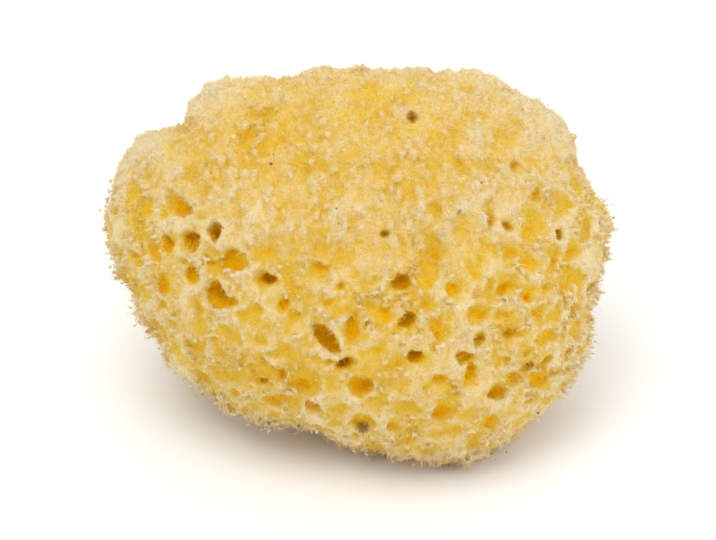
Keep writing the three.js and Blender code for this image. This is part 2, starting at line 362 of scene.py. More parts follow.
axes = [np.arange(GRID_LOW[k], GRID_HIGH[k], GRID_STEP, dtype=np.float32) for k in range(3)]
shape = tuple(len(axis) for axis in axes)
grid = np.stack(np.meshgrid(*axes, indexing="ij"), axis=-1)
face_grid = to_face(grid).astype(np.float32)
field = outside_lump(face_grid).astype(np.float32)

# The skin is all shallow bowls that meet in crests: one round each pore, and others strewn between them,
# deep in the honeycomb and faint in the wool. Some of the strewn ones hold a small pore too.
BOWL_TRIES = 9000
BOWL_SPACING = 7.6
WOOL_SPACING = 7.0
SPACING_SPREAD = (0.75, 1.3)
BOWL_RADIUS = 4.5
RADIUS_SPREAD = (0.75, 1.4)
BOWL_DEPTH = (1.3, 5.8)
WOOL_BOWL_DEPTH = (0.0, 1.0)
PORE_BOWL_RIM = 2.6
PORE_BOWL_DEPTH, PORE_BOWL_DEPTH_SPREAD = 1.2, 1.8
SMALL_PORE_SHARE, WOOL_PORE_SHARE = 0.12, 0.02
SMALL_PORE_WIDTH = (2.2, 4.4)
SMALL_PORE_HEIGHT = (1.9, 3.6)
SMALL_PORE_DEPTH = (5, 7.5)
SMALL_PORE_TO_VIEWER = 0.5


def strewn_bowls(pores):
    """Every bowl's middle in the face's frame, radius and depth. Some bring a small pore with them."""
    rng = np.random.default_rng(5)
    places = [mouth for mouth, *_ in pores]
    bowls = [(mouth, 0.25 * (width + height) + PORE_BOWL_RIM,
              PORE_BOWL_DEPTH + PORE_BOWL_DEPTH_SPREAD * rng.random())
             for mouth, out, width, height, turn, depth in pores]
    more_pores = []
    ways = rng.normal(size=(BOWL_TRIES, 3))
    ways /= np.linalg.norm(ways, axis=1)[:, None]
    spots = ways * lump_radius(*ways.T)[:, None]
    wool = woolliness(spots)
    for way, spot, woolly in zip(ways, spots, wool):
        spacing = BOWL_SPACING + (WOOL_SPACING - BOWL_SPACING) * woolly
        clear = spacing * rng.uniform(*SPACING_SPREAD)
        if np.min(np.linalg.norm(np.array(places) - spot, axis=1)) < clear:
            continue
        places.append(spot)
        depth = (1 - woolly) * rng.uniform(*BOWL_DEPTH) + woolly * rng.uniform(*WOOL_BOWL_DEPTH)
        bowls.append((spot, BOWL_RADIUS * rng.uniform(*RADIUS_SPREAD), depth))
        if rng.random() < SMALL_PORE_SHARE * (1 - woolly) + WOOL_PORE_SHARE:
            out = way + np.array([0, 0, SMALL_PORE_TO_VIEWER if way[2] > 0 else 0])
            out = out / np.linalg.norm(out)
            more_pores.append((spot, out, rng.uniform(*SMALL_PORE_WIDTH), rng.uniform(*SMALL_PORE_HEIGHT),
                               rng.uniform(0, 180), rng.uniform(*SMALL_PORE_DEPTH)))
    return bowls, more_pores


def block_round(centre, reach):
    """The part of the grid within reach of a centre given in the face's frame."""
    middle = centre @ FACE_AXES + MIDDLE
    first = np.maximum(((middle - reach - GRID_LOW) / GRID_STEP).astype(int), 0)
    last = np.maximum(((middle + reach - GRID_LOW) / GRID_STEP).astype(int) + 1, 0)
    return tuple(slice(a, b) for a, b in zip(first, last))


pores = pore_list()
bowls, more_pores = strewn_bowls(pores)
pores += more_pores

# Only this close to the smooth lump does the skin take any relief, in full within the second distance.
SKIN_REACH, SKIN_FULL = 6, 3
near = np.abs(field) < SKIN_REACH
skin_points = face_grid[near]
on_skin = smooth_step(SKIN_REACH, SKIN_FULL, np.abs(field[near]))

# Nothing on the skin is round: every place sways a little, and pore walls are tattered besides. Ripples are
# given by their wavelength and seed, and sways have their reach between these.
SWAYS = [(7.0, 1.1, 11), (2.8, 0.45, 41)]
TATTERS = (2.0, 51)
sway = np.zeros_like(face_grid)
for length, reach, seed in SWAYS:
    sway[near] += reach * np.stack([ripple(skin_points, length, seed + k) for k in range(3)], axis=1)
sway[near] *= on_skin[:, None]
tatters = np.zeros(shape, dtype=np.float32)
tatters[near] = ripple(skin_points, *TATTERS) * on_skin

# Round each grid point: how far its nearest two bowls are, in their own radii, and how deep the bowls go.
FAR_BOWL = 3.0
BOWL_REACH = 2.4
BOWL_FALL = 4
LEAST_WEIGHT = 1e-4
WIDEST_GAP = 1.5
nearest = np.full(shape, FAR_BOWL, dtype=np.float32)
second = np.full(shape, FAR_BOWL, dtype=np.float32)
weights = np.full(shape, LEAST_WEIGHT, dtype=np.float32)
bowl_depth = np.zeros(shape, dtype=np.float32)
for middle, radius, deepest in bowls:
    block = block_round(middle, BOWL_REACH * radius)
    distance = np.linalg.norm(face_grid[block] + sway[block] - middle.astype(np.float32), axis=-1) / radius
    closer = distance < nearest[block]
    second[block] = np.where(closer, nearest[block], np.minimum(second[block], distance))
    nearest[block] = np.where(closer, distance, nearest[block])
    weight = np.exp(-BOWL_FALL * distance * distance)
    weights[block] += weight
    bowl_depth[block] += weight * deepest
bowl_depth /= weights
crest_gap = np.clip(second - nearest, 0, WIDEST_GAP)

# Each bowl sinks from a broad bank at its crest. Where a crest has worn away, bowls run together.
BANK = (0.05, 1.2)
BOWL_EDGE = 1.7
WORN_RIPPLE = (9.0, 35)
WORN_MOST, WORN_SHARE = 0.75, 0.8
WORN_RANGE = (-0.4, 1.0)
worn = WORN_MOST * smooth_step(*WORN_RANGE, ripple(skin_points, *WORN_RIPPLE))
bank = smooth_step(*BANK, crest_gap[near])
bowl_shape = smooth_step(BOWL_EDGE, 0.0, nearest[near]) * (bank + (WORN_SHARE - WORN_SHARE * bank) * worn)
pressed = bowl_depth[near] * bowl_shape

# Towards the lump's edge, as seen from the front, everything that stands out is a little taller.
RIM_KNOB_SHARE = 0.7
RIM_RANGE = (24, 6)
rim = 1 + RIM_KNOB_SHARE * smooth_step(*RIM_RANGE, np.abs(skin_points[:, 2]))

# The crests of deep bowls are torn: ragged, with points that stand out and notches between them.
TORN_WIDTH = 0.4
TORN_DEPTH = (0.8, 3)
TORN_HEIGHT, TORN_NOTCH = 1.8, 0.5
TORN_RIPPLE = (2.0, 33)
torn = smooth_step(TORN_WIDTH, 0.0, crest_gap[near]) * smooth_step(*TORN_DEPTH, bowl_depth[near])
points_out = np.maximum(ripple(skin_points, *TORN_RIPPLE), 0)
pressed -= torn * (TORN_HEIGHT * rim * points_out - TORN_NOTCH)

# The wool is drawn together in knobs, most of them low and some tall, with small ones among them.
KNOB_STRETCH = np.array([1.0, 0.65, 1.0], dtype=np.float32)
KNOB_SWAY = 0.3
KNOB_REACH = 0.85
KNOB_SIZE, KNOB_HEIGHT, KNOB_SEED = 2.6, 2.2, 23
KNOB_LOWEST, KNOB_CURVE, KNOB_SUNK = 0.2, 1.8, 0.12
SMALL_KNOB_SIZE, SMALL_KNOB_HEIGHT, SMALL_KNOB_SEED = 1.5, 1.1, 24
SMALL_KNOB_LOWEST, SMALL_KNOB_SUNK = 0.3, 0.2
BARE_KNOBS, BARE_SMALL_KNOBS = 0.15, 0.3
wool = woolliness(skin_points)
knobs, tall = scattered_cells((skin_points + KNOB_SWAY * sway[near]) * KNOB_STRETCH, KNOB_SIZE, KNOB_SEED)
small_knobs, short = scattered_cells(skin_points * KNOB_STRETCH, SMALL_KNOB_SIZE, SMALL_KNOB_SEED)
knob_height = KNOB_LOWEST + (1 - KNOB_LOWEST) * tall ** KNOB_CURVE
knob = knob_height * np.clip(1 - knobs / KNOB_REACH, 0, 1)
knob_share = BARE_KNOBS + (1 - BARE_KNOBS) * wool
pressed -= knob_share * rim * KNOB_HEIGHT * (knob - KNOB_SUNK)
small_height = SMALL_KNOB_LOWEST + (1 - SMALL_KNOB_LOWEST) * short
small_knob = small_height * np.clip(1 - small_knobs / KNOB_REACH, 0, 1)
small_knob_share = BARE_SMALL_KNOBS + (1 - BARE_SMALL_KNOBS) * wool
pressed -= small_knob_share * rim * SMALL_KNOB_HEIGHT * (small_knob - SMALL_KNOB_SUNK)
tufts = np.zeros(shape, dtype=np.float32)
tufts[near] = np.maximum(knob, 0.5 * small_knob)

# Slow swells under all of it, and the flat cut underneath.
SWELL_HEIGHT, SWELLS = 0.4, (13.0, 32)
CUT_SOFTNESS = 0.8
pressed += SWELL_HEIGHT * ripple(skin_points, *SWELLS)
field[near] += pressed
field = smooth_max(field, -grid[..., 2], CUT_SOFTNESS)

# A pore is a funnel with a flared mouth and a narrow end. It bends on the way in, and its wall is uneven.
DEPTH_SHARE = 0.66
PORE_OPEN = 1.2
MOUTH_FLARE, FLARE_RANGE = 0.5, (0.35, -0.2)
END_TAPER, TAPER_RANGE = 0.35, (0.3, 1.0)
BEND_ACROSS, BEND_UP = 0.35, 0.25
PORE_SWAY = 0.35
PORE_TATTER = 0.12
END_SOFTNESS = 2.0
LIP_SOFTNESS = 1.2


def carve(mouth, out, width, height, turn, depth):
    """Cuts one pore into the field. Its key is a number of its own that sets how it bends and wobbles."""
    across = np.array([1.0, 0, 0]) - out[0] * out
    across /= np.linalg.norm(across)
    up = np.cross(out, across)
    cosine, sine = math.cos(math.radians(turn)), math.sin(math.radians(turn))
    across, up = cosine * across + sine * up, cosine * up - sine * across
    block = block_round(mouth - 0.5 * depth * out, 0.5 * depth + 0.9 * max(width, height) + 2)
    near_points = face_grid[block] + PORE_SWAY * sway[block] - mouth.astype(np.float32)
    a, b, c = [near_points @ axis.astype(np.float32) for axis in (across, up, -out)]
    key = float(mouth[0] * 3.1 + mouth[1] * 1.7)
    deep = np.clip(c / depth, -1, 1.2)
    a = a + BEND_ACROSS * width * math.sin(key) * deep * deep
    b = b + BEND_UP * height * math.cos(2.3 * key) * deep * deep
    wobble = 0.10 * np.sin(1.9 * a + key) * np.sin(1.7 * b + 2 * key) + 0.08 * np.sin(1.3 * c + 3 * key)
    flare = MOUTH_FLARE * smooth_step(*FLARE_RANGE, deep)
    taper = END_TAPER * smooth_step(*TAPER_RANGE, deep)
    open_share = PORE_OPEN + flare - taper + wobble
    side = (np.hypot(2 * a / width, 2 * b / height) - open_share) * min(width, height) / 2
    side = side + PORE_TATTER * tatters[block]
    hollow = smooth_max(side, c - depth, END_SOFTNESS)
    field[block] = smooth_max(field[block], -hollow, LIP_SOFTNESS)


for *place, deepest in pores:
    carve(*place, DEPTH_SHARE * deepest)


# Pinches are looked for again this many times, and a filled grid point lies this little inside.
PINCH_ROUNDS = 6
PINCH_FILL = -0.04


def fill_pinches(values):
    """Where solid corners of one grid square touch only across its diagonal, the gap is filled."""
    for _ in range(PINCH_ROUNDS):
        inside = values < 0
        fill = np.zeros_like(inside)
        for p, q in ((0, 1), (0, 2), (1, 2)):
            def shifted(dp, dq):
                cut = [slice(None)] * 3
                cut[p] = slice(dp, inside.shape[p] - 1 + dp)
                cut[q] = slice(dq, inside.shape[q] - 1 + dq)
                return tuple(cut)
            corners = [inside[shifted(*step)] for step in ((0, 0), (1, 0), (1, 1), (0, 1))]
            pinch = (corners[0] == corners[2]) & (corners[1] == corners[3]) & (corners[0] != corners[1])
            for dp, dq in ((0, 0), (1, 0), (1, 1), (0, 1)):
                fill[shifted(dp, dq)] |= pinch
        fill &= ~inside
        if not fill.any():
            break
        values[fill] = PINCH_FILL
    return values


def net_mesh(values):
    """A closed mesh of squares where the field crosses zero: one corner in each crossed grid cube."""
    inside = values < 0
    size = np.array(values.shape) - 1
    corner = {}
    for step in itertools.product((0, 1), repeat=3):
        corner[step] = tuple(slice(step[k], size[k] + step[k]) for k in range(3))
    count = sum(inside[cut].astype(np.int8) for cut in corner.values())
    crossed = (count > 0) & (count < 8)
    cubes = np.argwhere(crossed)
    number = np.full(tuple(size), -1, dtype=np.int64)
    number[crossed] = np.arange(len(cubes))
    level = {step: values[cut][crossed] for step, cut in corner.items()}
    total = np.zeros((len(cubes), 3))
    crossings = np.zeros(len(cubes))
    for start, end in itertools.combinations(level, 2):
        if sum(abs(s - e) for s, e in zip(start, end)) != 1:
            continue
        a, b = level[start], level[end]
        cuts = (a < 0) != (b < 0)
        t = np.where(cuts, a / np.where(cuts, a - b, 1), 0)[:, None]
        spot = np.array(start) + t * (np.array(end) - np.array(start))
        total += spot * cuts[:, None]
        crossings += cuts
    corners = (cubes + total / crossings[:, None]) * GRID_STEP + GRID_LOW
    squares = []
    for axis in range(3):
        p, q = (axis + 1) % 3, (axis + 2) % 3
        low_cut = [slice(1, -1)] * 3
        low_cut[axis] = slice(0, -1)
        high_cut = list(low_cut)
        high_cut[axis] = slice(1, None)
        here, there = inside[tuple(low_cut)], inside[tuple(high_cut)]
        for leaving in (True, False):
            places = np.argwhere((here == leaving) & (there != leaving))
            places[:, p] += 1
            places[:, q] += 1
            ring = []
            for dp, dq in ((-1, -1), (0, -1), (0, 0), (-1, 0)):
                cell = places.copy()
                cell[:, p] += dp
                cell[:, q] += dq
                ring.append(number[cell[:, 0], cell[:, 1], cell[:, 2]])
            ring = np.stack(ring if leaving else ring[::-1], axis=1)
            squares.append(ring)
    return corners, np.concatenate(squares)


def mesh_from(name, corners, faces):
    """A Blender mesh of corners in millimetres and faces of equally many sides."""
    mesh = bpy.data.meshes.new(name)
    sides = faces.shape[1]
    mesh.vertices.add(len(corners))
    mesh.vertices.foreach_set("co", (corners * MM).astype(np.float32).ravel())
    mesh.loops.add(faces.size)
    mesh.loops.foreach_set("vertex_index", faces.astype(np.int32).ravel())
    mesh.polygons.add(len(faces))
    mesh.polygons.foreach_set("loop_start", np.arange(0, faces.size, sides, dtype=np.int32))
    mesh.update(calc_edges=True)
    mesh.validate()
    return mesh


def plain_copy(holder, name):
    """What an object looks like with its modifiers, as a plain mesh."""
    graph = bpy.context.evaluated_depsgraph_get()
    mesh = bpy.data.meshes.new_from_object(holder.evaluated_get(graph))
    mesh.name = name
    return mesh


field = fill_pinches(field)
corners, squares = net_mesh(field)
sponge = bpy.data.objects.new("sponge_body", mesh_from("sponge_body", corners, squares))
bpy.context.collection.objects.link(sponge)
thin = sponge.modifiers.new("thin", "DECIMATE")
thin.ratio = min(1.0, BODY_TRIANGLES / (2 * len(squares)))
thin.use_collapse_triangulate = True
body_mesh = plain_copy(sponge, "sponge_body")
sponge.modifiers.remove(thin)
sponge.data = body_mesh
for corner in body_mesh.vertices:
    corner.co.z = max(corner.co.z, 0.0)
body_mesh.polygons.foreach_set("use_smooth", np.ones(len(body_mesh.polygons), dtype=bool))

# What each spot of the skin is like: how deep it lies, how much of its surroundings is solid, how woolly
# it is, and whether it is on a crest or a tuft.
# How deep a spot lies and how much solid is round it paint shade into its colour: deep, enclosed spots are
# coloured darker gold.
HOLLOW_REACH = 1.6
WIDE_HOLLOW_REACH = 5.0
BULK_REACH = 18.0
DEEPEST = 20
# Painted rim light: the lump's edge, as seen from the front, is coloured paler by counting it as less bulky,
# for light that comes through its thin fuzz.
PAINTED_RIM_LIGHT = 0.14
PAINTED_RIM_RANGE = (30, 4)
CREST_WIDTH = (0.45, 0.05)
CREST_LOWEST = (3.2, 2.0)
TUFT_RANGE = (0.05, 0.3)


def box_average(solid, reach):
    """The share of solid in a cube round each grid point."""
    steps = max(1, round(reach / GRID_STEP))
    for axis in range(3):
        padding = [(0, 0)] * 3
        padding[axis] = (steps + 1, steps)
        sums = np.cumsum(np.pad(solid, padding), axis=axis, dtype=np.float32)
        high = [slice(None)] * 3
        low = [slice(None)] * 3
        high[axis] = slice(2 * steps + 1, None)
        low[axis] = slice(0, sums.shape[axis] - 2 * steps - 1)
        solid = (sums[tuple(high)] - sums[tuple(low)]) / (2 * steps + 1)
    return solid


def at_points(values, points):
    """The grid's values at points, in the CAD frame in millimetres, blended from the eight round each."""
    place = (points - GRID_LOW) / GRID_STEP
    place = np.clip(place, 0, np.array(values.shape) - 1.001)
    base = place.astype(int)
    part = place - base
    total = np.zeros(len(points))
    for step in itertools.product((0, 1), repeat=3):
        weight = np.prod([part[:, k] if step[k] else 1 - part[:, k] for k in range(3)], axis=0)
        total += weight * values[base[:, 0] + step[0], base[:, 1] + step[1], base[:, 2] + step[2]]
    return total


def put_attribute(mesh, name, values):
    """Stores a number or a vector for each corner of a mesh."""
    kind = "FLOAT" if values.ndim == 1 else "FLOAT_VECTOR"
    layer = mesh.attributes.new(name, kind, "POINT")
    layer.data.foreach_set("value" if values.ndim == 1 else "vector", values.astype(np.float32).ravel())


body_points = np.empty(len(body_mesh.vertices) * 3, dtype=np.float32)
body_mesh.vertices.foreach_get("co", body_points)
body_points = body_points.reshape(-1, 3) / MM
body_face = to_face(body_points)
facing = body_face[:, 2]
solid = (field < 0).astype(np.float32)
depth = np.clip(-outside_lump(body_face), 0, DEEPEST)
body_wool = woolliness(body_face)
# Painted rim light: the colour is made paler near the lump's edge as seen from the front.
painted_rim_light = PAINTED_RIM_LIGHT * smooth_step(*PAINTED_RIM_RANGE, np.abs(facing)) * (0.3 + 0.7 * body_wool)
put_attribute(body_mesh, "hollow", at_points(box_average(solid, HOLLOW_REACH), body_points))
put_attribute(body_mesh, "wide_hollow", at_points(box_average(solid, WIDE_HOLLOW_REACH), body_points))
put_attribute(body_mesh, "bulk", at_points(box_average(solid, BULK_REACH), body_points) - painted_rim_light)
put_attribute(body_mesh, "depth", depth)
put_attribute(body_mesh, "wool", body_wool)
outward = (body_face / np.linalg.norm(body_face, axis=1)[:, None]) @ FACE_AXES
put_attribute(body_mesh, "outward", outward)
crest = smooth_step(*CREST_WIDTH, at_points(crest_gap, body_points))
crest *= smooth_step(*TORN_DEPTH, at_points(bowl_depth, body_points)) * smooth_step(*CREST_LOWEST, depth)
tuft = smooth_step(*TUFT_RANGE, at_points(tufts, body_points))

# Colours of the fibre from the crests to the pits, whose gold is painted shade, then of the foot, whose tan
# is partly the cut's own and partly painted shade, the specks and the dull green.
CREST_COLOUR = (0.835, 0.70, 0.44, 1.0)
WALL_COLOUR = (0.79, 0.52, 0.062, 1.0)
PIT_COLOUR = (0.88, 0.485, 0.001, 1.0)
FOOT_TAN_AND_SHADE_COLOUR = (0.70, 0.44, 0.20, 1.0)
SPECK_COLOUR = (0.10, 0.045, 0.012, 1.0)
SLIME_COLOUR = (0.17, 0.12, 0.015, 1.0)


def node(tree, kind, inputs=None, **settings):
    """A new node with its settings. Its inputs are fed with other nodes' sockets or plain values."""
    made = tree.nodes.new(kind)
    for name, value in settings.items():
        setattr(made, name, value)
    for socket, value in (inputs or {}).items():
        if isinstance(value, bpy.types.NodeSocket):
            tree.links.new(value, made.inputs[socket])
        else:
            made.inputs[socket].default_value = value
    return made


def new_group(name, kind, inputs, outputs):
    """A node group, the sockets that it is given and its output node. Sockets are named by their kind."""
    tree = bpy.data.node_groups.new(name, kind)
    for way, sockets in (("OUTPUT", outputs), ("INPUT", inputs)):
        for socket_kind, socket_names in sockets.items():
            for socket_name in socket_names:
                tree.interface.new_socket(socket_name, in_out=way, socket_type="NodeSocket" + socket_kind)
    return tree, node(tree, "NodeGroupInput").outputs, node(tree, "NodeGroupOutput")


def maths(tree, operation, *values):
    """A Math node's output."""
    return node(tree, "ShaderNodeMath", dict(enumerate(values)), operation=operation).outputs["Value"]


def vector_maths(tree, operation, inputs):
    return node(tree, "ShaderNodeVectorMath", inputs, operation=operation).outputs["Vector"]


def colour_mix(tree, share, first, second):
    """A blend of two colours. Sockets 6 and 7 are a Mix node's colour inputs, and 2 its colour output."""
    inputs = {"Factor": share, 6: first, 7: second}
    return node(tree, "ShaderNodeMix", inputs, data_type="RGBA", blend_type="MIX").outputs[2]


def ranged(tree, value, low, high):
    """0 below low and 1 above high, smoothly."""
    inputs = {"Value": value, "From Min": low, "From Max": high}
    return node(tree, "ShaderNodeMapRange", inputs, interpolation_type="SMOOTHSTEP").outputs["Result"]


def noise(tree, place, scale, detail, rough=0.55):
    inputs = {"Vector": place, "Scale": scale, "Detail": detail, "Roughness": rough}
    return node(tree, "ShaderNodeTexNoise", inputs).outputs["Fac"]


# Dark specks and one dull green pore, on the face: across, up, half as wide.
SPECKS = [
    (-26.1, -45.8, 1.0), (-17.4, -46.9, 0.9), (-28.6, -44.6, 0.6), (-24.9, 29.4, 0.7), (35.3, 24.1, 0.5),
    (-24.2, 32.2, 0.4), (-6.1, 16.6, 0.5), (-5.6, 12.4, 0.45), (-38.5, 11.2, 0.4), (13.8, -12.6, 0.5),
]
SLIMES = [(1.5, -46.5, 2.6), (-9.5, -52.6, 1.2)]
FACE_DEPTH = 0.01
RAGGED_SCALE = 1500.0
SPOT_EDGE, SPOT_FULL = 1.4, 0.9


def spots_group():
    """Masks for the specks and the dull green pore, which lie on the face alone."""
    tree, given, result = new_group("face_spots", "ShaderNodeTree",
                                    {"Vector": ["Place"]}, {"Float": ["Specks", "Slime"]})
    place = given["Place"]
    away = vector_maths(tree, "SUBTRACT", {0: place, 1: MIDDLE * MM})
    sides = []
    for axis in FACE_AXES:
        along = node(tree, "ShaderNodeVectorMath", {0: away, 1: axis}, operation="DOT_PRODUCT")
        sides.append(along.outputs["Value"])
    on_face = ranged(tree, sides[2], 0.0, FACE_DEPTH)
    ragged = noise(tree, place, RAGGED_SCALE, 2.0)
    for name, spots in (("Specks", SPECKS), ("Slime", SLIMES)):
        mask = None
        for x, u, reach in spots:
            across = maths(tree, "SUBTRACT", sides[0], x * MM)
            up = maths(tree, "SUBTRACT", sides[1], u * MM)
            across_squared = maths(tree, "MULTIPLY", across, across)
            up_squared = maths(tree, "MULTIPLY", up, up)
            distance = maths(tree, "SQRT", maths(tree, "ADD", across_squared, up_squared))
            frayed = maths(tree, "MULTIPLY_ADD", ragged, reach * MM, distance)
            spot = ranged(tree, frayed, SPOT_EDGE * reach * MM, SPOT_FULL * reach * MM)
            mask = spot if mask is None else maths(tree, "MAXIMUM", mask, spot)
        tree.links.new(maths(tree, "MULTIPLY", mask, on_face), result.inputs[name])
    return tree


face_spots = spots_group()


# The colour goes from crest to wall to pit as a level climbs. Each measure of the skin raises the level by a
# factor of itself plus an amount, which paints shade: deeper, more hollow and bulkier spots are coloured
# darker gold. Three noises from coarse to fine add to it as the fibre's own uneven tone.
SKIN_MEASURES = ["Hollow", "Wide Hollow", "Bulk", "Depth", "Wool"]
PAINTED_SHADE_FROM = {"Depth": (0.28, 0.6), "Hollow": (1.4, -0.7), "Wide Hollow": (2.0, -1.0), "Bulk": (3.2, -1.4)}
WOOL_CALM = -0.4
# Each noise's scale and detail, then its factor and amount. Dimples lie only where their noise is high.
PATCHES, PATCH_LEVEL = (34.0, 2.0), (0.8, -0.4)
BLOTCHES, BLOTCH_LEVEL = (120.0, 1.5), (0.65, -0.32)
DIMPLES, DIMPLE_RANGE, DIMPLE_LEVEL = (300.0, 1.0), (0.5, 0.8), 0.5
WALL_RANGE = (-0.3, 1.2)
PIT_RANGE = (1.2, 2.1)
# The foot is darker up to this height in metres: partly the tan of the cut, partly painted shade under the
# body.
TAN_AND_SHADE_UP_TO = 0.016
TAN_AND_SHADE_SHARE, SLIME_SHARE, SPECK_SHARE = 0.6, 0.75, 0.65
# Painted fine shade: a fine noise speckles the colour lighter and darker, for shade in the felt's tiny gaps.
FELT_GAP_SHADE, FELT_GAP_SHADE_FACTOR = (1900.0, 2.0, 0.6), (0.5, 0.76)


def colour_and_painted_shade_group():
    """The colour of spongin, with painted shade by how hollow and how deep it lies, and with its own
    blotches.
    """
    inputs = {"Float": SKIN_MEASURES + ["Pale"], "Vector": ["Place"]}
    tree, given, result = new_group("colour_and_painted_shade", "ShaderNodeTree", inputs, {"Color": ["Color"]})
    place = given["Place"]
    blotches = noise(tree, place, *BLOTCHES)
    patches = noise(tree, place, *PATCHES)
    dimples = ranged(tree, noise(tree, place, *DIMPLES), *DIMPLE_RANGE)
    calm = maths(tree, "MULTIPLY_ADD", given["Wool"], WOOL_CALM, 1.0)
    calm_depth = maths(tree, "MULTIPLY", given["Depth"], calm)
    by_hollow = maths(tree, "MULTIPLY_ADD", given["Hollow"], *PAINTED_SHADE_FROM["Hollow"])
    # The first four parts are painted shade; the three noises are the fibre's own uneven tone.
    parts = (
        maths(tree, "MULTIPLY_ADD", calm_depth, *PAINTED_SHADE_FROM["Depth"]),
        maths(tree, "MULTIPLY", by_hollow, calm),
        maths(tree, "MULTIPLY_ADD", given["Wide Hollow"], *PAINTED_SHADE_FROM["Wide Hollow"]),
        maths(tree, "MULTIPLY_ADD", given["Bulk"], *PAINTED_SHADE_FROM["Bulk"]),
        maths(tree, "MULTIPLY", dimples, DIMPLE_LEVEL),
        maths(tree, "MULTIPLY_ADD", blotches, *BLOTCH_LEVEL),
        maths(tree, "MULTIPLY_ADD", patches, *PATCH_LEVEL),
    )
    level = maths(tree, "MULTIPLY", given["Pale"], -1.0)
    for part in parts:
        level = maths(tree, "ADD", level, part)
    wall = colour_mix(tree, ranged(tree, level, *WALL_RANGE), CREST_COLOUR, WALL_COLOUR)
    pit = colour_mix(tree, ranged(tree, level, *PIT_RANGE), wall, PIT_COLOUR)
    # Painted shade and the cut's tan: the colour darkens towards the foot.
    up = node(tree, "ShaderNodeSeparateXYZ", {"Vector": place}).outputs["Z"]
    low_down = maths(tree, "MULTIPLY", ranged(tree, up, TAN_AND_SHADE_UP_TO, 0.0), TAN_AND_SHADE_SHARE)
    tan_and_shaded = colour_mix(tree, low_down, pit, FOOT_TAN_AND_SHADE_COLOUR)
    spots = node(tree, "ShaderNodeGroup", node_tree=face_spots)
    tree.links.new(place, spots.inputs["Place"])
    slime = maths(tree, "MULTIPLY", spots.outputs["Slime"], SLIME_SHARE)
    slimed = colour_mix(tree, slime, tan_and_shaded, SLIME_COLOUR)
    specks = maths(tree, "MULTIPLY", spots.outputs["Specks"], SPECK_SHARE)
    specked = colour_mix(tree, specks, slimed, SPECK_COLOUR)
    # Painted fine shade, speckled through the colour.
    felt_gap_shade = noise(tree, place, *FELT_GAP_SHADE)
    felt_gap_shade_factor = maths(tree, "MULTIPLY_ADD", felt_gap_shade, *FELT_GAP_SHADE_FACTOR)
    felt_gap_shaded = vector_maths(tree, "SCALE", {0: specked, "Scale": felt_gap_shade_factor})
    tree.links.new(felt_gap_shaded, result.inputs["Color"])
    return tree


colour_and_painted_shade = colour_and_painted_shade_group()


# What all the sponge's materials share: rough and dull, and light strays a little way into them.
SPONGIN_VALUES = {
    "Roughness": 0.9,
    "Specular IOR Level": 0.02,
    "Sheen Roughness": 0.5,
    "Sheen Tint": (1.0, 0.9, 0.68, 1.0),
    "Subsurface Radius": (1.0, 0.75, 0.3),
    "Subsurface Scale": 0.0007,
}
# The two noises of the felt's bump: scale, detail and roughness.
FINE_FELT = (900.0, 4.0, 0.7)
COARSE_FELT = (350.0, 3.0, 0.6)


def spongin(name, pale, bump_height, soft, fuzz):
    """A material of sponge fibre that takes its colour from the shared group."""
    material = bpy.data.materials.new(name)
    material.use_nodes = True
    tree = material.node_tree
    shader = tree.nodes["Principled BSDF"]
    place = node(tree, "ShaderNodeTexCoord").outputs["Object"]
    colour = node(tree, "ShaderNodeGroup", node_tree=colour_and_painted_shade)
    tree.links.new(place, colour.inputs["Place"])
    colour.inputs["Pale"].default_value = pale
    for measure in SKIN_MEASURES:
        reader = node(tree, "ShaderNodeAttribute", attribute_name=measure.lower().replace(" ", "_"))
        tree.links.new(reader.outputs["Fac"], colour.inputs[measure])
    tree.links.new(colour.outputs["Color"], shader.inputs["Base Color"])
    felt = maths(tree, "ADD", noise(tree, place, *FINE_FELT), noise(tree, place, *COARSE_FELT))
    bump = node(tree, "ShaderNodeBump", {"Strength": 1.0, "Distance": bump_height, "Height": felt})
    tree.links.new(bump.outputs["Normal"], shader.inputs["Normal"])
    for socket, value in SPONGIN_VALUES.items():
        shader.inputs[socket].default_value = value
    shader.inputs["Sheen Weight"].default_value = fuzz
    shader.inputs["Subsurface Weight"].default_value = soft
    return material


body_mesh.materials.clear()
body_mesh.materials.append(spongin("spongin_walls", pale=0.0, bump_height=1.0 * MM, soft=0.6, fuzz=0.06))
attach(sponge, "root")
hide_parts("sponge")


# The wool is the ends of the same fibres, which stand out of the skin all over as thousands of short
# tapered spikes, closest on the knobs. It is three pieces: the front, the top and the back.

# A hair is planted with this share of its length inside the skin.
ROOT_SHARE = 0.35


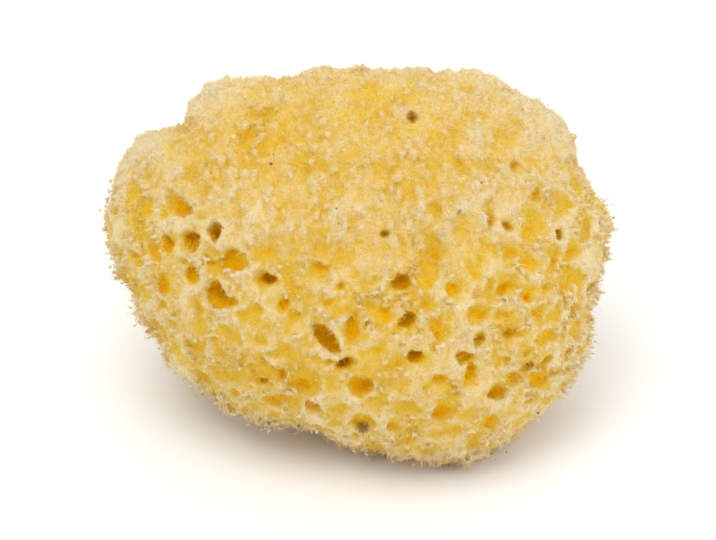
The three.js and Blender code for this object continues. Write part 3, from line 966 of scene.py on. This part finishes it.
def growth_tree():
    """Geometry Nodes that grow tapered hairs from a surface, thicker where its growth attribute is high."""
    inputs = {
        "Geometry": ["Geometry"],
        "Float": ["Density", "Length", "Length Spread", "Thickness", "Lean", "Scatter", "Bend"],
        "Int": ["Segments", "Seed"],
        "String": ["Growth", "Lean Way"],
        "Material": ["Material"],
    }
    tree, given, result = new_group("fibre_growth", "GeometryNodeTree", inputs, {"Geometry": ["Geometry"]})

    def attribute(name, kind):
        made = node(tree, "GeometryNodeInputNamedAttribute", {"Name": name}, data_type=kind)
        return made.outputs["Attribute"]

    def random_number(low, high, seed_step):
        """Inputs 2 and 3 are the least and most of the random numbers, and output 1 gives them."""
        inputs = {2: low, 3: high, "Seed": maths(tree, "ADD", given["Seed"], seed_step)}
        return node(tree, "FunctionNodeRandomValue", inputs, data_type="FLOAT").outputs[1]

    density = maths(tree, "MULTIPLY", attribute(given["Growth"], "FLOAT"), given["Density"])
    inputs = {"Mesh": given["Geometry"], "Density": density, "Seed": given["Seed"]}
    scatter = node(tree, "GeometryNodeDistributePointsOnFaces", inputs, distribute_method="RANDOM")

    # Each hair leans from the skin's normal towards the lean way, strays at random and is spun about itself.
    inputs = {"Min": (-1.0, -1.0, -1.0), "Max": (1.0, 1.0, 1.0), "Seed": given["Seed"]}
    wander = node(tree, "FunctionNodeRandomValue", inputs, data_type="FLOAT_VECTOR").outputs["Value"]
    lean_way = attribute(given["Lean Way"], "FLOAT_VECTOR")
    leaning = vector_maths(tree, "SCALE", {0: lean_way, "Scale": given["Lean"]})
    way = vector_maths(tree, "ADD", {0: leaning, 1: scatter.outputs["Normal"]})
    strayed = vector_maths(tree, "SCALE", {0: wander, "Scale": given["Scatter"]})
    way = vector_maths(tree, "ADD", {0: way, 1: strayed})
    align = node(tree, "FunctionNodeAlignRotationToVector", {"Vector": way}, axis="Z")
    inputs = {"Axis": (0.0, 0.0, 1.0), "Angle": random_number(0.0, 2 * math.pi, 1.0)}
    about = node(tree, "FunctionNodeAxisAngleToRotation", inputs)
    inputs = {"Rotation": align.outputs["Rotation"], "Rotate By": about.outputs["Rotation"]}
    turned = node(tree, "FunctionNodeRotateRotation", inputs, rotation_space="LOCAL")

    # One hair is a thin cone a unit long, sunk a little into the skin and bent more towards its tip.
    inputs = {"Vertices": 3, "Radius Top": 0.0, "Radius Bottom": 0.5, "Depth": 1.0,
              "Side Segments": given["Segments"]}
    hair = node(tree, "GeometryNodeMeshCone", inputs, fill_type="NGON")
    position = node(tree, "GeometryNodeInputPosition").outputs["Position"]
    along = node(tree, "ShaderNodeSeparateXYZ", {"Vector": position}).outputs["Z"]
    bent = maths(tree, "MULTIPLY", maths(tree, "POWER", along, 2.0), given["Bend"])
    rooted = maths(tree, "MULTIPLY_ADD", along, ROOT_SHARE, -ROOT_SHARE)
    offset = node(tree, "ShaderNodeCombineXYZ", {"X": bent, "Z": rooted}).outputs["Vector"]
    curl = node(tree, "GeometryNodeSetPosition", {"Geometry": hair.outputs["Mesh"], "Offset": offset})

    shortest = maths(tree, "SUBTRACT", given["Length"], given["Length Spread"])
    longest = maths(tree, "ADD", given["Length"], given["Length Spread"])
    inputs = {"X": given["Thickness"], "Y": given["Thickness"], "Z": random_number(shortest, longest, 2.0)}
    size = node(tree, "ShaderNodeCombineXYZ", inputs).outputs["Vector"]
    plant = node(tree, "GeometryNodeInstanceOnPoints", {
        "Points": scatter.outputs["Points"],
        "Instance": curl.outputs["Geometry"],
        "Rotation": turned.outputs["Rotation"],
        "Scale": size,
    })
    real = node(tree, "GeometryNodeRealizeInstances", {"Geometry": plant.outputs["Instances"]})
    inputs = {"Geometry": real.outputs["Geometry"], "Material": given["Material"]}
    finish = node(tree, "GeometryNodeSetMaterial", inputs)
    tree.links.new(finish.outputs["Geometry"], result.inputs["Geometry"])
    return tree


fibre_growth = growth_tree()


def grow(name, growth, **values):
    """One piece of fibres on the body's skin."""
    put_attribute(body_mesh, name + "_growth", growth)
    holder = bpy.data.objects.new(name, body_mesh)
    bpy.context.collection.objects.link(holder)
    grower = holder.modifiers.new("grow", "NODES")
    grower.node_group = fibre_growth
    values["Growth"] = name + "_growth"
    for item in fibre_growth.interface.items_tree:
        if item.in_out == "INPUT" and item.name in values:
            grower[item.identifier] = values[item.name]
    mesh = plain_copy(holder, name)
    ends = np.empty(len(mesh.vertices) * 3, dtype=np.float32)
    mesh.vertices.foreach_get("co", ends)
    ends[2::3] = np.maximum(ends[2::3], 0.0)
    mesh.vertices.foreach_set("co", ends)
    holder.modifiers.remove(grower)
    holder.data = mesh
    mesh.polygons.foreach_set("use_smooth", np.zeros(len(mesh.polygons), dtype=bool))
    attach(holder, "root")


PER_MM2 = 1e6
# Nothing grows out of the cut, and only the outermost skin grows fibres.
OFF_FLOOR = (0.8, 2.5)
SHALLOW = (6.0, 2.0)
off_floor = smooth_step(*OFF_FLOOR, body_points[:, 2])
shallow = smooth_step(*SHALLOW, depth)

# Where the front piece of wool gives way to the back one, and to the top one.
FRONT_SIDE = (-25, -12)
TOP_SIDE = (8, 20)
BETWEEN_TUFTS = 0.12
wool_fibre = spongin("spongin_wool", pale=0.1, bump_height=0.3 * MM, soft=0.0, fuzz=0.12)
hair_fibre = spongin("spongin_hair", pale=-0.3, bump_height=0.2 * MM, soft=0.0, fuzz=0.0)
FINE_WOOL = {"Length": 0.9 * MM, "Length Spread": 0.5 * MM, "Thickness": 0.22 * MM, "Lean": 0.5,
             "Scatter": 0.8, "Bend": 0.2, "Segments": 1, "Lean Way": "outward", "Material": wool_fibre}
front_side = smooth_step(*FRONT_SIDE, facing)
top_side = smooth_step(*TOP_SIDE, body_face[:, 1])
tufted = shallow * off_floor * (BETWEEN_TUFTS + (1 - BETWEEN_TUFTS) * tuft) * (0.3 + 0.7 * body_wool)
grow("wool_front", front_side * (1 - top_side) * tufted, Density=4.6 * PER_MM2, Seed=3, **FINE_WOOL)
grow("wool_top", front_side * top_side * tufted, Density=4.6 * PER_MM2, Seed=7, **FINE_WOOL)
grow("wool_back", (1 - front_side) * tufted, Density=3.8 * PER_MM2, Seed=4, **FINE_WOOL)


# The fringe is longer hairs that stand bent on the torn crests round the pores, where the walls fray.
# They are the tips of the same fibres.
LONG_HAIR = {"Length": 1.6 * MM, "Length Spread": 0.9 * MM, "Thickness": 0.34 * MM, "Lean": 0.8,
             "Scatter": 1.2, "Bend": 0.6, "Segments": 2, "Lean Way": "outward", "Material": hair_fibre}
grow("fringe", crest * off_floor, Density=1.3 * PER_MM2, Seed=5, **LONG_HAIR)


# The strands are loose hairs that have come away from the walls and lie combed across some pores of the
# face, in small wisps that all bend one way.
STRAND = {"Length": 3.2 * MM, "Length Spread": 1.6 * MM, "Thickness": 0.3 * MM, "Lean": 2.2,
          "Scatter": 0.9, "Bend": 1.3, "Segments": 5, "Lean Way": "combed", "Material": hair_fibre}
# Each wisp: across, up, reach, and the way that it is combed in degrees.
WISPS = [
    (17.5, -15.5, 3.2, 40), (33.5, -19.5, 4.5, 35), (-16.5, -7.5, 3.0, -30), (4.5, -8.5, 2.2, 55),
    (26.5, -22.5, 3.0, 50), (21.5, 2.0, 4.0, 95), (36.0, 20.0, 2.6, 60), (54.0, 19.0, 3.6, 30),
    (57.5, -7.0, 3.4, 120), (1.5, -21.0, 3.0, 5), (44.5, -25.0, 3.4, 20), (-21.5, -26.5, 2.6, 75),
    (-37.0, -26.0, 3.0, 140), (12.0, -33.0, 3.0, 170), (30.0, -34.0, 3.0, 100), (-48.0, 4.5, 2.6, 60),
]
WISP_LIFT = 0.15
LEAST_FACING = 5
combed = np.zeros_like(body_face)
strand_growth = np.zeros(len(body_face))
for x, u, reach, heading in WISPS:
    away = (body_face[:, 0] - x) ** 2 + (body_face[:, 1] - u) ** 2
    share = np.exp(-away / reach ** 2) * (facing > LEAST_FACING)
    strand_growth = np.maximum(strand_growth, share)
    turn = math.radians(heading)
    combed += share[:, None] * np.array([math.cos(turn), math.sin(turn), WISP_LIFT])
combed /= np.maximum(np.linalg.norm(combed, axis=1), 1e-6)[:, None]
put_attribute(body_mesh, "combed", combed @ FACE_AXES)
grow("strands", strand_growth * shallow * off_floor, Density=0.45 * PER_MM2, Seed=6, **STRAND)
